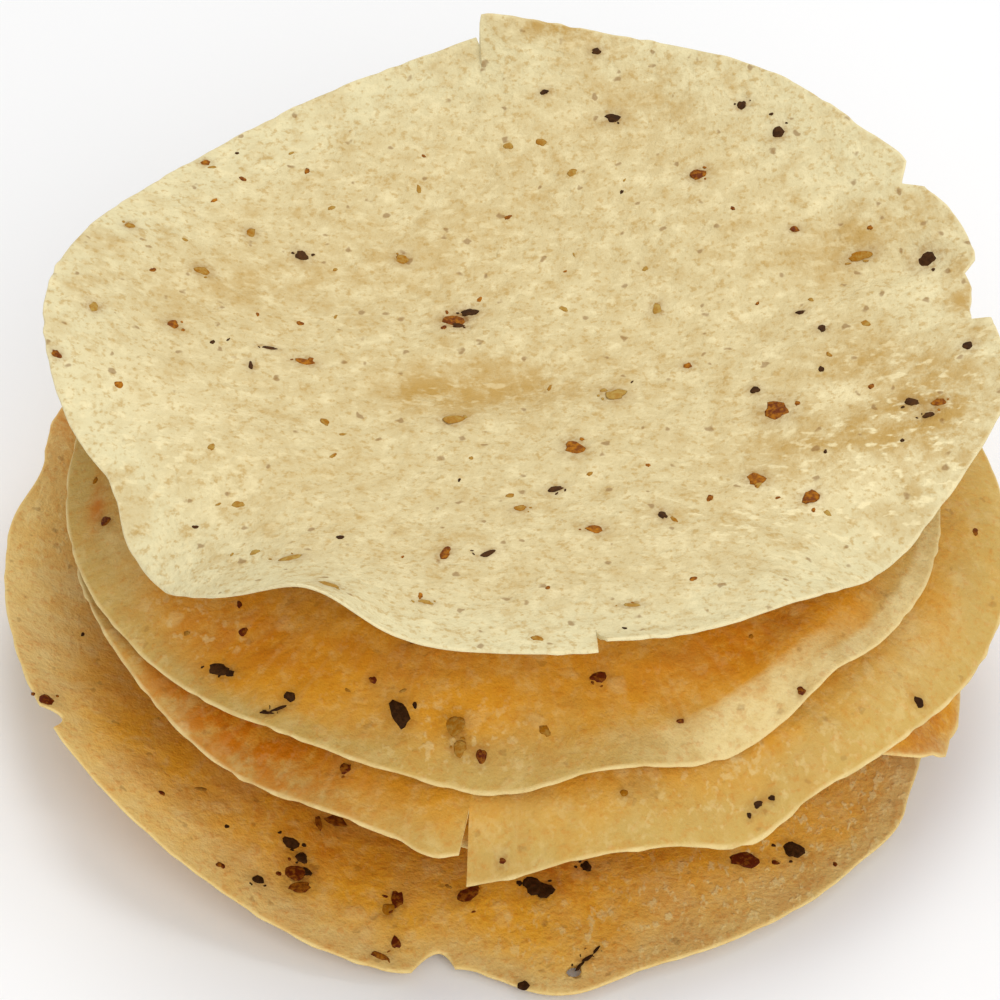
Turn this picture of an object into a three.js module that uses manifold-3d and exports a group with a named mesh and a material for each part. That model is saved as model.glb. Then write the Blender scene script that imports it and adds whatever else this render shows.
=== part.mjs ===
// A stack of five fried papadums as it lies on a bare floor: thin crisp discs with wavy rims.
// Millimetres, +Z up, the front towards -Y, the floor at z = 0.
// Angles are in degrees and turn from +X (the right) towards +Y (the back).
import * as THREE from 'three';
import { mergeVertices } from 'three/addons/utils/BufferGeometryUtils.js';
import Module from 'manifold-3d';

const wasm = await Module();
wasm.setup();

const THICKNESS = 1.2;
const RIM_ROUNDING = 0.4;
const COLUMNS = 72;
const RINGS = [0, 0.2, 0.4, 0.58, 0.73, 0.85, 0.93, 1];
// Bites and tears only move the part of a sheet outside this share of its radius.
const STEADY_SHARE = 0.85;
// The power by which a wave fades inwards is this over the wave's spread in degrees.
const INWARD_FADE = 60;
// Powers that shape a nick: a tear is a straight-sided notch, a bite is a round hollow.
const TEAR = 1;
const BITE = 2;
// Nicks have columns of vertices of their own, with no even column this close in degrees. A bite
// has two more, at this part of its widths.
const CLEAR_OF_NICK = 1.2;
const BITE_COLUMN = 0.6;
// The power by which the lifted side of a tear dies out along the rim.
const FLAP_FADE = 1.5;
// Vertices closer than this are one.
const SAME_PLACE = 1e-4;

// Every papadum is told by where its middle lies, how wide it is, how high its middle and its
// rim stand, and how fast the sheet turns up or down towards the rim.
// bulges move the outline out, waves lift the rim, nicks are bites and tears in the rim, each
// with its width before and after the deepest place, and a nick below nought is a point,
// flaps lift one side of a tear, dents lift or sink a patch of the sheet.
// A middle below the floor means that the sheet lies flat on the floor there.

const BOTTOM = {
  centre: [-0.42, 0.88],
  radius: 90,
  middleHeight: -2,
  rimHeight: 9,
  steepening: 1.7,
  bulges: [
    { at: 345, spread: 22, out: -6.5 },
    { at: 190, spread: 22, out: 0.6 },
    { at: 170, spread: 6, out: -3 },
    { at: 218, spread: 17, out: 1.5 },
    { at: 266, spread: 5.5, out: -3.2 },
    { at: 277, spread: 6, out: 2.6 },
    { at: 321, spread: 4, out: 1.5 },
  ],
  waves: [
    { at: 165, spread: 38, rise: 14 },
    { at: 216, spread: 24, rise: 10.5 },
    { at: 265, spread: 26, rise: -6.5 },
    { at: 312, spread: 30, rise: -5.5 },
    { at: 80, spread: 45, rise: 19 },
  ],
  nicks: [
    { at: 210.8, before: 2.2, after: 1.6, depth: 2.6, bluntness: BITE },
    { at: 262.8, before: 2.5, after: 2.2, depth: 3.6, bluntness: BITE },
  ],
  flaps: [],
  dents: [
    { x: 0, y: -68, along: 26, across: 12, slant: 8, rise: 2.5 },
    { x: 45, y: -52, along: 18, across: 9, slant: 40, rise: 2 },
    { x: -40, y: -52, along: 20, across: 9, slant: -38, rise: 1.5 },
  ],
};

const FOURTH = {
  centre: [5.58, -1.12],
  radius: 77.5,
  middleHeight: 44,
  rimHeight: 25.5,
  steepening: 2.2,
  bulges: [
    { at: 331, spread: 11, out: 6.8 },
    { at: 322, spread: 5, out: 3.9 },
    { at: 255, spread: 15, out: -2.5 },
  ],
  waves: [
    { at: 333, spread: 12, rise: -12.5 },
    { at: 225, spread: 20, rise: 4.5 },
    { at: 178, spread: 24, rise: -7 },
    { at: 88, spread: 40, rise: -2.5 },
    { at: 264, spread: 12, rise: -4.5 },
    { at: 296, spread: 10, rise: -3.5 },
  ],
  nicks: [
    { at: 326.4, before: 2.5, after: 3.5, depth: -1.2, bluntness: TEAR },
  ],
  flaps: [],
  dents: [],
};

const THIRD = {
  centre: [5.58, -1.12],
  radius: 83,
  middleHeight: 46,
  rimHeight: 29,
  steepening: 2.2,
  bulges: [
    { at: 342, spread: 22, out: 3.5 },
    { at: 258, spread: 3, out: 2 },
  ],
  waves: [
    { at: 208, spread: 18, rise: 6 },
    { at: 246, spread: 10, rise: 3 },
    { at: 276, spread: 7, rise: 1.6 },
    { at: 296, spread: 7, rise: -6 },
    { at: 303, spread: 6, rise: 1.5 },
    { at: 335, spread: 12, rise: -3 },
    { at: 5, spread: 30, rise: 4 },
  ],
  nicks: [
    { at: 261.6, before: 0.4, after: 0.4, depth: 7, bluntness: TEAR },
  ],
  flaps: [
    { at: 261.6, fade: 11, rise: -8, depth: 9 },
  ],
  dents: [],
};

const SECOND = {
  centre: [-0.42, 0.88],
  radius: 77,
  middleHeight: 50,
  rimHeight: 38,
  steepening: 2.2,
  bulges: [
    { at: 340, spread: 22, out: 3 },
    { at: 196, spread: 20, out: 1.2 },
  ],
  waves: [
    { at: 243, spread: 14, rise: 3 },
    { at: 269, spread: 8, rise: -2.5 },
    { at: 283, spread: 7, rise: 2 },
    { at: 300, spread: 9, rise: -4.5 },
    { at: 317, spread: 6, rise: 3 },
    { at: 90, spread: 60, rise: 8 },
  ],
  nicks: [],
  flaps: [],
  dents: [
    { x: 50.6, y: -46.1, along: 22, across: 4, slant: 48, rise: 1.6 },
  ],
};

const TOP = {
  centre: [1.58, 8.88],
  radius: 80,
  middleHeight: 54,
  rimHeight: 64,
  steepening: 2.2,
  bulges: [
    { at: 349, spread: 15, out: 7.4 },
    { at: 14, spread: 10, out: 4.8 },
    { at: 30, spread: 4, out: 1.8 },
    { at: 180, spread: 18, out: 2 },
    { at: 209, spread: 5, out: -2.5 },
  ],
  waves: [
    { at: 50, spread: 42, rise: 10.5 },
    { at: 88.5, spread: 12, rise: 4.3 },
    { at: 134, spread: 20, rise: -3.5 },
    { at: 178, spread: 22, rise: 6.5 },
    { at: 221, spread: 12, rise: -11.5 },
    { at: 246, spread: 8, rise: 8 },
    { at: 292, spread: 16, rise: -2 },
    { at: 324, spread: 15, rise: -11.5 },
    { at: 5, spread: 4, rise: -3 },
  ],
  nicks: [
    { at: 94.4, before: 0.35, after: 0.35, depth: 1.5, bluntness: TEAR },
    { at: 280.4, before: 0.5, after: 0.5, depth: 5, bluntness: TEAR },
    { at: 0.9, before: 0.35, after: 11, depth: 3.3, bluntness: TEAR },
    { at: 9.2, before: 2.4, after: 1.3, depth: 1.8, bluntness: TEAR },
    { at: 25.2, before: 2.2, after: 2.6, depth: 2.6, bluntness: TEAR },
  ],
  flaps: [
    { at: 94.4, fade: -7, rise: 5, depth: 8 },
    { at: 280.4, fade: 12, rise: 2.5, depth: 5 },
  ],
  dents: [
    { x: -2, y: 5, along: 15, across: 6, slant: 5, rise: -1.8 },
    { x: 70, y: 27, along: 13, across: 5, slant: 0, rise: -2.5 },
    { x: -50, y: -15, along: 26, across: 13, slant: -30, rise: 1.6 },
    { x: -35, y: 25, along: 30, across: 10, slant: 12, rise: -1.2 },
    { x: 30, y: 45, along: 26, across: 12, slant: -20, rise: 1.2 },
  ],
};

// The bottom papadum has one small round hole close to its front rim. The hole is cut by a pin
// that reaches half its length above the floor.
const HOLE = { x: 12, y: -86, radius: 1.3, pinLength: 20, sides: 16 };

// Signed turn from one angle to another, between -180 and 180 degrees.
function turnFrom(start, angle) {
  return ((((angle - start + 180) % 360) + 360) % 360) - 180;
}

// A smooth hump: 1 at distance 0, fading out over the spread.
function hump(distance, spread) {
  return Math.exp(-((distance / spread) ** 2));
}

function smoothStep(value) {
  const t = Math.min(Math.max(value, 0), 1);
  return t * t * (3 - 2 * t);
}

// Radius of the outline before bites and tears are taken out.
function wholeRadius(sheet, angle) {
  let radius = sheet.radius;
  for (const bulge of sheet.bulges) {
    radius += bulge.out * hump(turnFrom(bulge.at, angle), bulge.spread);
  }
  return radius;
}

function rimRadius(sheet, angle) {
  let radius = wholeRadius(sheet, angle);
  for (const nick of sheet.nicks) {
    const turn = turnFrom(nick.at, angle);
    const fromTip = turn < 0 ? -turn / nick.before : turn / nick.after;
    radius -= nick.depth * Math.max(1 - fromTip ** nick.bluntness, 0);
  }
  return radius;
}

// A wave is full at the rim and dies out inwards, the sooner the narrower it is.
function waveRise(sheet, wave, share, angle) {
  const power = Math.max(sheet.steepening, INWARD_FADE / wave.spread);
  return wave.rise * hump(turnFrom(wave.at, angle), wave.spread) * share ** power;
}

// How much one side of a tear stands above the other side, strongest at the tear itself.
function flapRise(flap, fromRim, angle) {
  const turn = turnFrom(flap.at, angle) * Math.sign(flap.fade);
  if (turn <= 0) return 0;
  const inTear = smoothStep(1 - fromRim / flap.depth);
  return flap.rise * Math.exp(-((turn / Math.abs(flap.fade)) ** FLAP_FADE)) * inTear;
}

// A long patch lifted or sunk about its own middle.
function dentRise(dent, x, y) {
  const slant = THREE.MathUtils.degToRad(dent.slant);
  const along = (x - dent.x) * Math.cos(slant) + (y - dent.y) * Math.sin(slant);
  const across = (y - dent.y) * Math.cos(slant) - (x - dent.x) * Math.sin(slant);
  return dent.rise * hump(along, dent.along) * hump(across, dent.across);
}

// Height of the middle of the sheet's thickness, kept off the floor by half the thickness.
function sheetHeight(sheet, radius, angle) {
  const whole = wholeRadius(sheet, angle);
  const share = radius / whole;
  let height = sheet.middleHeight + (sheet.rimHeight - sheet.middleHeight) * share ** sheet.steepening;
  for (const wave of sheet.waves) {
    height += waveRise(sheet, wave, share, angle);
  }
  for (const flap of sheet.flaps) {
    height += flapRise(flap, whole - radius, angle);
  }
  const turn = THREE.MathUtils.degToRad(angle);
  const x = sheet.centre[0] + radius * Math.cos(turn);
  const y = sheet.centre[1] + radius * Math.sin(turn);
  for (const dent of sheet.dents) {
    height += dentRise(dent, x, y);
  }
  return Math.max(height, THICKNESS / 2);
}

// Distance from the middle of the sheet at a share of the way out.
function radiusAt(sheet, share, angle) {
  const whole = wholeRadius(sheet, angle);
  if (share <= STEADY_SHARE) return whole * share;
  const outward = (share - STEADY_SHARE) / (1 - STEADY_SHARE);
  const start = whole * STEADY_SHARE;
  return start + (rimRadius(sheet, angle) - start) * outward;
}

// Angles at the edges and the tip of a nick, and on the round sides of a bite.
function nickAngles(nick) {
  const angles = [nick.at - nick.before, nick.at, nick.at + nick.after];
  if (nick.bluntness === BITE) {
    angles.push(nick.at - nick.before * BITE_COLUMN, nick.at + nick.after * BITE_COLUMN);
  }
  return angles.map((angle) => (angle + 360) % 360);
}

// Angles of the columns of vertices: evenly spaced, and those of the nicks.
function columnAngles(sheet) {
  const ofNicks = sheet.nicks.flatMap(nickAngles);
  const angles = [...ofNicks];
  for (let i = 0; i < COLUMNS; i += 1) {
    const even = (360 * i) / COLUMNS;
    const close = ofNicks.some((angle) => Math.abs(turnFrom(angle, even)) < CLEAR_OF_NICK);
    if (!close) angles.push(even);
  }
  return angles.sort((a, b) => a - b);
}

// Points of the disc's section, from the middle of the underside round the rim to the middle of
// the upper side. Each has its share of the way out, the part of half the thickness that it is
// raised by, and how far it is drawn in from the rim.
function discSection() {
  const last = RINGS.length - 1;
  const under = RINGS.map((share, i) => ({ share, side: -1, drawnIn: i === last ? RIM_ROUNDING : 0 }));
  const upper = RINGS.map((share, i) => ({ share, side: 1, drawnIn: i === last ? RIM_ROUNDING : 0 }));
  return [...under, { share: 1, side: 0, drawnIn: 0 }, ...upper.reverse()];
}

// A flat turned disc whose vertices are moved column by column onto the wavy sheet.
function papadumGeometry(sheet) {
  const angles = columnAngles(sheet);
  const section = discSection();
  const profile = section.map((point) => new THREE.Vector2(
    point.share * sheet.radius - point.drawnIn,
    (point.side * THICKNESS) / 2,
  ));
  const geometry = new THREE.LatheGeometry(profile, angles.length);
  const position = geometry.attributes.position;
  for (let column = 0; column <= angles.length; column += 1) {
    const angle = angles[column % angles.length];
    const turn = THREE.MathUtils.degToRad(angle);
    section.forEach((point, row) => {
      const radius = radiusAt(sheet, point.share, angle) - point.drawnIn;
      const height = sheetHeight(sheet, radius, angle) + (point.side * THICKNESS) / 2;
      const x = sheet.centre[0] + radius * Math.cos(turn);
      const y = sheet.centre[1] + radius * Math.sin(turn);
      position.setXYZ(column * section.length + row, x, y, height);
    });
  }
  geometry.deleteAttribute('normal');
  geometry.deleteAttribute('uv');
  return geometry;
}

function toManifold(geometry) {
  const joined = mergeVertices(geometry, SAME_PLACE);
  const vertProperties = new Float32Array(joined.attributes.position.array);
  const triVerts = new Uint32Array(joined.index.array);
  return new wasm.Manifold(new wasm.Mesh({ numProp: 3, vertProperties, triVerts }));
}

function toGeometry(solid) {
  const mesh = solid.getMesh();
  const geometry = new THREE.BufferGeometry();
  geometry.setAttribute('position', new THREE.BufferAttribute(mesh.vertProperties, mesh.numProp));
  geometry.setIndex(new THREE.BufferAttribute(mesh.triVerts, 1));
  return geometry;
}

function withHole(geometry, hole) {
  const pin = new THREE.CylinderGeometry(hole.radius, hole.radius, hole.pinLength, hole.sides);
  pin.rotateX(Math.PI / 2);
  pin.translate(hole.x, hole.y, 0);
  pin.deleteAttribute('normal');
  pin.deleteAttribute('uv');
  return toGeometry(toManifold(geometry).subtract(toManifold(pin)));
}

function papadum(name, sheet, colour, hole) {
  const disc = papadumGeometry(sheet);
  const geometry = hole ? withHole(disc, hole) : toGeometry(toManifold(disc));
  geometry.computeVertexNormals();
  const material = new THREE.MeshStandardMaterial({ color: colour, roughness: 0.6, metalness: 0 });
  const mesh = new THREE.Mesh(geometry, material);
  mesh.name = name;
  return mesh;
}

// Moves the whole stack so that its box is centred over the origin and stands on the floor.
function centreOnFloor(stack) {
  const box = new THREE.Box3().setFromObject(stack);
  const middle = box.getCenter(new THREE.Vector3());
  stack.children.forEach((mesh) => mesh.geometry.translate(-middle.x, -middle.y, -box.min.z));
}

const stack = new THREE.Group();
stack.name = 'papadum_stack';
stack.add(
  papadum('papadum_bottom', BOTTOM, 0xc79445, HOLE),
  papadum('papadum_fourth', FOURTH, 0xc88f3e),
  papadum('papadum_third', THIRD, 0xd2a55c),
  papadum('papadum_second', SECOND, 0xd6b077),
  papadum('papadum_top', TOP, 0xe2cf9f),
);
centreOnFloor(stack);

export default stack;
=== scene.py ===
"""A stack of five fried papadums on a bare surface, laid out as an add-on and run as a script."""

import math

import bpy
import numpy as np
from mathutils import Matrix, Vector


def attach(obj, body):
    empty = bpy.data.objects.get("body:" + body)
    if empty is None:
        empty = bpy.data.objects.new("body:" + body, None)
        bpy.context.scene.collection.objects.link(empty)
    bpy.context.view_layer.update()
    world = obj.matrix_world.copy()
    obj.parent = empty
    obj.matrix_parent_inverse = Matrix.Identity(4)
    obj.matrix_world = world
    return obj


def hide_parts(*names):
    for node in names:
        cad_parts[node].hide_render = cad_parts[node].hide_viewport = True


bl_info = {
    "name": "Papadum stack",
    "version": (1, 0, 0),
    "blender": (4, 5, 0),
    "location": "3D View > Sidebar > Papadums",
    "description": "Builds a stack of thin fried papadums with wavy rims, spice flecks and a plain studio",
    "category": "Add Mesh",
}

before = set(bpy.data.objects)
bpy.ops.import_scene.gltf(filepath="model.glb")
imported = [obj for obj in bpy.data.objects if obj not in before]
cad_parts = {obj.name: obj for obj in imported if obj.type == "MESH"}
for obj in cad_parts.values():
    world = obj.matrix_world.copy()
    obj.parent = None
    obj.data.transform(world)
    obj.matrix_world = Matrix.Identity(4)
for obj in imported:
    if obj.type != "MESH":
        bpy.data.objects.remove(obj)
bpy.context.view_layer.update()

MM = 0.001

# Powers that shape a nick: a tear is a straight-sided notch, a bite is a round hollow.
TEAR = 1
BITE = 2
# Bites and tears only move the part of a sheet outside this share of its radius.
STEADY_SHARE = 0.85
# The power by which a wave fades inwards is this over the wave's spread in degrees.
INWARD_FADE = 60.0
# Over the last share of the way out a sheet loses these shares of its thickness and of its bubbles.
RIM_ZONE = 0.1
RIM_THINNING = 0.3
RIM_CALM = 0.75
# The outline frays by this many millimetres, in teeth of about this many degrees.
FRAY_DEPTH = 0.2
FRAY_TURN = 1.6
# Widths in millimetres of the broad swells, the ripples and the finest bubbles, whose height is a
# share of the small bubbles'.
SWELL_WIDTH = 19.0
RIPPLE_WIDTH = 7.5
FINEST_WIDTH = 1.5
FINEST_SHARE = 0.35
# Every sheet lies this much lower in millimetres, so that its bubbles stay within the plain solid.
SINK = 0.12
# The small round hole through the bottom sheet: its place and radius in millimetres.
HOLE = (12.0, -86.0, 1.3)
# The pin that cuts the hole has this many sides and these ends, in millimetres above the floor.
PIN_SIDES = 24
PIN_ENDS = (-5.0, 20.0)
# The pale line of the rim, partly the dough's paler edge and partly a painted highlight, ends this many
# millimetres from the outline, and fades in over this width.
EDGE_WIDTH = 0.7
EDGE_FADE = 0.5
# A lit stretch of the rim, painted light, sets in over this share of the way out.
LIT_LIP_FADE = 0.02
# The stain round a fleck is wider than it by a share and a margin in millimetres, at this strength.
STAIN_SPREAD = 0.62
STAIN_MARGIN = 0.3
STAIN_STRENGTH = 0.75
# A fleck's outline has this many corners and these lobes: (how many, how deep).
FLECK_CORNERS = 14
FLECK_LOBES = ((2, 0.09), (3, 0.09), (5, 0.07))
# How light flecks are on the pale top sheet and on the others, and how far that varies.
TOP_TINT = 0.5
OTHER_TINT = 0.2
TINT_RANGE = 0.2
# Widths in metres of the dough's clouds, mottles, grain, flakes and fibres.
CLOUD_WIDTH = 0.013
MOTTLE_WIDTH = 0.0046
GRAIN_WIDTH = 0.0013
FLAKE_WIDTH = 0.0019
FIBRE_WIDTH = 0.0022
# How strongly the clouds, grain, pits and stains show in each finish, and how closely its flakes lie
# from left to right, from front to back and upwards.
COARSENESS = {"pale": 1.0, "golden": 0.45, "amber": 0.6}
FLAKE_RUN = {"pale": (0.6, 1.0, 1.0), "golden": (1.0, 0.8, 1.0), "amber": (1.2, 0.7, 1.0)}
SLOTS = {"pale": "crisp_pale", "golden": "crisp_golden", "amber": "crisp_amber"}
# Half the side of the floor, and the height that the camera and the lights aim at, in metres.
FLOOR_REACH = 6.0
AIM_HEIGHT = 0.03

# Millimetres and degrees, turning from +X (the right) towards +Y (the back), as in the CAD.
# bulges (at, spread, out) move the outline, waves (at, spread, rise) lift the rim,
# nicks (at, width before, width after, depth, bluntness) are bites, tears and, with a depth below
# nought, points; flaps (at, fade, rise, depth) lift one side of a tear. Patches
# (x, y, along, across, slant, strength): dents lift; browned patches brown the dough, partly browned
# dough and partly painted shade in hollows, creases and folds and under the sheet above; lighter
# patches lighten it, partly paler dough and partly painted light on sides that face the lamps; and
# glints sprinkle the dough with pale flakes, partly the blisters' own colour and partly painted
# highlights. Paleness starts at pale_from of the way out and is full at the rim, and the deeper
# middle inside it is partly the dough's colour and partly painted shade; pale_turns (at, spread,
# shift) move its start, also to keep rims that lie in shade deep, and the lit stretches of the rim
# (at, spread, from, strength) are painted light on rims that face the light, starting that far out.
SHEETS = {
    "papadum_bottom": {
        "centre": (-0.42, 0.88), "radius": 90.0, "middle_height": -2.0, "rim_height": 9.0,
        "steepening": 1.7, "seed": 11, "finish": "amber", "pale_from": 0.86,
        "bulges": [(345, 22, -6.5), (190, 22, 0.6), (170, 6, -3.0), (218, 17, 1.5), (266, 5.5, -3.2),
                   (277, 6, 2.6), (321, 4, 1.5)],
        "waves": [(165, 38, 14.0), (216, 24, 10.5), (265, 26, -6.5), (312, 30, -5.5), (80, 45, 19.0)],
        "nicks": [(210.8, 2.2, 1.6, 2.6, BITE), (262.8, 2.5, 2.2, 3.6, BITE)],
        "flaps": [],
        "dents": [(0, -68, 26, 12, 8, 2.5), (45, -52, 18, 9, 40, 2.0), (-40, -52, 20, 9, -38, 1.5)],
        "pale_turns": [(322, 20, 0.03)],
        "toasts_and_shade": [(-84, 28, 14, 5, 75, 0.5), (10, -66, 4, 4, 0, 1.0), (-31, -62, 9, 5, -30, 0.6),
                   (18, -84, 6, 3, 60, 0.4)],
        # At (-80, -10) and (66, -44) the lighter patches are painted light on sides that face the lamps.
        "creams_and_light": [(-80, -10, 32, 12, 85, 0.7), (-50, -66, 16, 5, -40, 0.35), (34, -72, 22, 5, 22, 0.3),
                   (66, -44, 24, 8, 50, 0.3)],
        "glints": [(34, -72, 34, 10, 22, 0.85), (-80, 8, 20, 12, 85, 0.5), (62, -48, 26, 11, 48, 0.9)],
        "lit_lips": [],
    },
    "papadum_fourth": {
        "centre": (5.58, -1.12), "radius": 77.5, "middle_height": 44.0, "rim_height": 25.5,
        "steepening": 2.2, "seed": 12, "finish": "amber", "pale_from": 0.97,
        "bulges": [(331, 11, 6.8), (322, 5, 3.9), (255, 15, -2.5)],
        "waves": [(333, 12, -12.5), (225, 20, 4.5), (178, 24, -7.0), (88, 40, -2.5), (264, 12, -4.5),
                  (296, 10, -3.5)],
        "nicks": [(326.4, 2.5, 3.5, -1.2, TEAR)],
        "flaps": [],
        "dents": [],
        "pale_turns": [],
        "toasts_and_shade": [(68, -44, 14, 9, 60, 1.0)],
        "creams_and_light": [],
        "glints": [],
        "lit_lips": [],
    },
    "papadum_third": {
        "centre": (5.58, -1.12), "radius": 83.0, "middle_height": 46.0, "rim_height": 29.0,
        "steepening": 2.2, "seed": 13, "finish": "golden", "pale_from": 0.84,
        "bulges": [(342, 22, 3.5), (258, 3, 2.0)],
        "waves": [(208, 18, 6.0), (246, 10, 3.0), (276, 7, 1.6), (296, 7, -6.0), (303, 6, 1.5),
                  (335, 12, -3.0), (5, 30, 4.0)],
        "nicks": [(261.6, 0.4, 0.4, 7.0, TEAR)],
        "flaps": [(261.6, 11.0, -8.0, 9.0)],
        "dents": [],
        # The pale turn at 225 degrees and the first browned patch keep the left strip deep orange: painted
        # shade under the second sheet.
        "pale_turns": [(330, 40, -0.12), (225, 25, 0.08)],
        "toasts_and_shade": [(-44, -58, 26, 8, -40, 1.0), (20, -66, 20, 3, 5, 0.3)],
        "creams_and_light": [(72, -40, 14, 4, 55, 0.25)],
        "glints": [(40, -68, 30, 8, 30, 0.3)],
        "lit_lips": [],
    },
    "papadum_second": {
        "centre": (-0.42, 0.88), "radius": 77.0, "middle_height": 50.0, "rim_height": 38.0,
        "steepening": 2.2, "seed": 14, "finish": "golden", "pale_from": 0.84,
        "bulges": [(340, 22, 3.0), (196, 20, 1.2)],
        "waves": [(243, 14, 3.0), (269, 8, -2.5), (283, 7, 2.0), (300, 9, -4.5), (317, 6, 3.0),
                  (90, 60, 8.0)],
        "nicks": [],
        "flaps": [],
        "dents": [(50.6, -46.1, 22, 4, 48, 1.6)],
        "pale_turns": [(320, 20, 0.05), (285, 14, -0.05), (225, 25, 0.07), (185, 24, -0.17)],
        # The browned patches at (42, -46) and (-6, -52) are painted shade, in the hollow at the right and
        # along the front rim.
        "toasts_and_shade": [(-71.5, -12, 6, 1.4, 88, 0.9), (-45, -45, 14, 7, -40, 0.6), (42, -46, 18, 6, 32, 0.7),
                   (-6, -52, 26, 5, 0, 0.4)],
        # The lighter patch is painted light on the left.
        "creams_and_light": [(-66, -24, 16, 5, -62, 0.3)],
        "glints": [(-8, -68, 12, 6, 0, 0.5), (-52, -44, 10, 6, -40, 0.4)],
        # These lit stretches are painted light on the crest band at the right, where the rim comes out of
        # the top sheet's shadow.
        "lit_lips": [(334, 22, 0.945, 1.0), (305, 15, 0.9, 1.0)],
    },
    "papadum_top": {
        "centre": (1.58, 8.88), "radius": 80.0, "middle_height": 54.0, "rim_height": 64.0,
        "steepening": 2.2, "seed": 15, "finish": "pale", "pale_from": 0.7,
        "bulges": [(349, 15, 7.4), (14, 10, 4.8), (30, 4, 1.8), (180, 18, 2.0), (209, 5, -2.5)],
        "waves": [(50, 42, 10.5), (88.5, 12, 4.3), (134, 20, -3.5), (178, 22, 6.5), (221, 12, -11.5),
                  (246, 8, 8.0), (292, 16, -2.0), (324, 15, -11.5), (5, 4, -3.0)],
        "nicks": [(94.4, 0.35, 0.35, 1.5, TEAR), (280.4, 0.5, 0.5, 5.0, TEAR), (0.9, 0.35, 11, 3.3, TEAR),
                  (9.2, 2.4, 1.3, 1.8, TEAR), (25.2, 2.2, 2.6, 2.6, TEAR)],
        "flaps": [(94.4, -7.0, 5.0, 8.0), (280.4, 12.0, 2.5, 5.0)],
        "dents": [(-2, 5, 15, 6, 5, -1.8), (70, 27, 13, 5, 0, -2.5), (-50, -15, 26, 13, -30, 1.6),
                  (-35, 25, 30, 10, 12, -1.2), (30, 45, 26, 12, -20, 1.2)],
        "pale_turns": [],
        # Of these browned patches, those at (-2, 5) in the hollow, (66, 34) above the crease, (12, 87) on
        # the fold of the back rim and (82, 17) on the bent-down lip are painted shade; the rest brown the
        # dough.
        "toasts_and_shade": [(74, -5, 12, 12, 0, 0.7), (56, -14, 16, 6, 8, 0.6), (62, 5, 10, 5, 0, 0.55),
                   (-2, 5, 20, 7, 4, 0.75), (-14, 2, 6, 5, 0, 0.5), (66, 34, 13, 5, 10, 0.7),
                   (82, 17, 3, 10, 0, 0.8), (74, -19, 13, 9, 20, 0.45), (12, 87, 12, 2.5, -8, 0.9),
                   (26, 73, 18, 9, -12, 0.4), (-50, 27, 26, 8, 20, 0.35), (-12, 40, 20, 12, 30, 0.25)],
        "creams_and_light": [(60, -3, 9, 2.5, 0, 0.6), (58, -24, 16, 4, 12, 0.5), (75, 20, 4, 6, 0, 0.5),
                   (-62, -8, 14, 8, 0, 0.35)],
        # The first two glint patches, at the right, are partly pale flakes and partly painted highlights on
        # the oily blistered dough.
        "glints": [(74, -14, 22, 18, 20, 0.65), (48, -30, 30, 10, 10, 0.5), (-60, -20, 20, 20, 0, 0.4),
                   (20, 20, 60, 50, 0, 0.15)],
        "lit_lips": [],
    },
}

# The flecks that stand out on each sheet: (x, y, length, width, turn), in millimetres and degrees.
PEPPER_MARKS = {
    "papadum_bottom": [
        (5.5, -69.0, 4.0, 4.5, 20), (7.5, -70.0, 2.6, 4.0, -25), (50.5, -59.5, 3.8, 4.4, 10),
        (3.5, -89.0, 2.0, 2.2, 0), (14.5, -64.0, 2.2, 2.6, 0), (-36.5, -62.5, 3.8, 3.0, -30),
        (-34.5, -65.0, 2.6, 2.4, -20), (-41.5, -71.5, 2.2, 2.2, 0), (-33.5, -68.0, 1.6, 2.6, 30),
        (13.0, -85.2, 2.6, 0.6, 50), (14.4, -83.6, 2.8, 0.7, 44), (15.9, -81.8, 2.4, 0.5, 54)],
    "papadum_second": [
        (-47.5, -52.5, 4.2, 2.6, -15), (-45.8, -53.6, 2.4, 1.4, -25), (-35.2, -60.6, 1.8, 2.2, 40),
        (-37.0, -62.6, 3.0, 0.7, 18), (-39.0, -63.2, 2.4, 0.6, -8), (-17.0, -64.0, 3.4, 5.4, 15)],
    "papadum_third": [
        (71.0, -50.0, 2.0, 2.2, 0), (42.5, -71.0, 1.6, 1.4, 30), (44.8, -70.2, 1.2, 1.0, 0),
        (41.0, -72.6, 1.0, 1.0, 0)],
    "papadum_top": [
        (-37.0, 38.0, 2.4, 3.0, 30), (21.0, 69.0, 3.2, 2.4, -20), (51.5, 59.0, 2.2, 3.0, 0),
        (45.0, 66.5, 2.2, 1.8, 40), (76.5, 27.5, 4.6, 3.8, 0), (71.0, -8.0, 2.8, 1.8, -25),
        (73.5, -11.5, 2.4, 1.2, 15), (27.0, -32.0, 1.6, 3.0, 10), (81.5, 3.5, 2.0, 2.0, 30),
        (8.0, 76.0, 1.8, 1.2, 10), (-2.5, -42.5, 3.2, 1.4, 30), (9.0, -24.0, 3.0, 1.4, 20),
        (-6.0, 24.5, 3.2, 2.2, 10), (-8.0, 21.0, 2.4, 1.4, 0), (18.0, 83.0, 2.0, 1.4, 0),
        (44.5, 0.5, 1.8, 2.0, 0), (57.0, 13.5, 1.6, 1.8, 0), (-44.5, 5.0, 0.9, 2.2, 10),
        (53.5, 18.5, 2.0, 0.9, 0), (-41.5, 10.5, 3.0, 0.9, 0)],
}
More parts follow.
